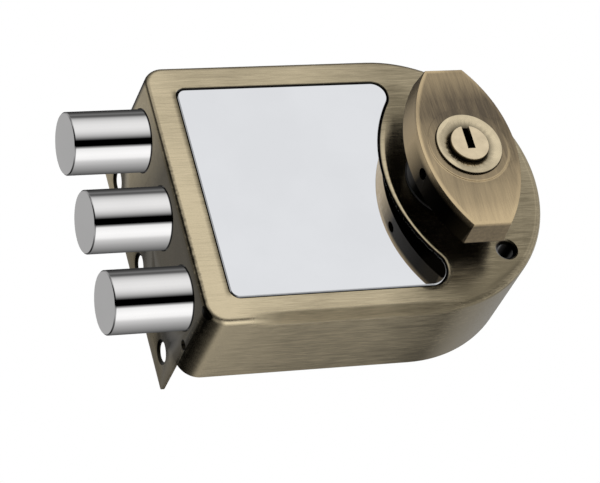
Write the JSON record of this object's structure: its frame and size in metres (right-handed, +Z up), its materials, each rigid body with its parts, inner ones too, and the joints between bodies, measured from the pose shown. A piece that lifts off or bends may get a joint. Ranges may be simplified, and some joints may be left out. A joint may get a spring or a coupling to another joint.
{
  "type": "surface-mounted door lock",
  "caption": "Rim lock with round horizontal bolts, a mirror-fronted D-shaped case, an edge flange and a turn knob with a keyed cylinder that locks it.",
  "frame": {"origin": "where the knob's axis meets the door's face", "axes": "+X from the bolts towards the case's round end, +Y into the door, +Z up the door; the knob faces -Y and the bolts point to -X"},
  "size_m": [0.1497, 0.072, 0.094],
  "materials": {
    "cast_case": "antique brass plate, brushed and lacquered",
    "mirror_glass": "mirror",
    "adhesive_pad": "matte foam",
    "plated_steel": "zinc plated",
    "steel_screws": "zinc plated",
    "bolt_chrome": "polished chrome",
    "bush_brass": "machined brass",
    "bright_steel": "ground",
    "guide_plastic": "matte acetal",
    "dark_plastic": "matte acetal",
    "spring_steel": "blued spring steel",
    "knob_cast": "antique brass plate, brushed and lacquered",
    "cylinder_brass": "satin brass",
    "plug_brass": "satin brass",
    "wafer_brass": "stamped brass"
  },
  "bodies": {
    "case": {"housing": "cast_case", "mirror_panel": "mirror_glass", "mirror_tape": "adhesive_pad", "back_plate": "plated_steel", "back_plate_screws": "steel_screws", "bush_top": "bush_brass", "bush_middle": "bush_brass", "bush_bottom": "bush_brass", "guide_rod_upper": "bright_steel", "guide_rod_lower": "bright_steel", "rack_guide": "guide_plastic", "rack_guide_screws": "steel_screws", "detent_spring": "spring_steel", "detent_rivets": "bush_brass", "spindle_bush": "bush_brass", "thrust_washer": "dark_plastic"},
    "bolt_carriage": {"bolt_top": "bolt_chrome", "bolt_middle": "bolt_chrome", "bolt_bottom": "bolt_chrome", "carriage_bar": "plated_steel", "bolt_screws": "steel_screws", "drive_rack": "plated_steel", "rack_screws": "steel_screws"},
    "turn_knob": {"knob": "knob_cast", "spindle": "plated_steel", "spindle_screws": "steel_screws", "pinion": "plated_steel", "pinion_pin": "bright_steel", "cylinder_shell": "cylinder_brass", "grub_screw": "steel_screws"},
    "plug": {"key_plug": "plug_brass", "wafers": "wafer_brass", "cam_pin": "bright_steel", "plug_clip": "spring_steel"},
    "locking_slide": {"lock_slide": "wafer_brass"}
  },
  "joints": [
    {"name": "knob_turn", "type": "hinge", "parent": "case", "child": "turn_knob", "pos_m": [0, 0, 0], "axis": [0, -1, 0], "range_deg": [0, 180]},
    {"name": "bolt_throw", "type": "slide", "parent": "case", "child": "bolt_carriage", "axis": [1, 0, 0], "range_m": [0, 0.02356], "deforming": ["detent_spring"]},
    {"name": "key_turn", "type": "hinge", "parent": "turn_knob", "child": "plug", "pos_m": [0, -0.045, 0], "axis": [0, -1, 0], "range_deg": [0, 90]},
    {"name": "knob_lock", "type": "slide", "parent": "turn_knob", "child": "locking_slide", "axis": [0, 0, 1], "range_m": [0, 0.0022]}
  ],
  "couplings": [
    {"joint": "knob_turn", "follows": "bolt_throw", "rad_per_m": 133.33},
    {"joint": "knob_lock", "follows": "key_turn", "m_per_rad": 0.0014006}
  ]
}
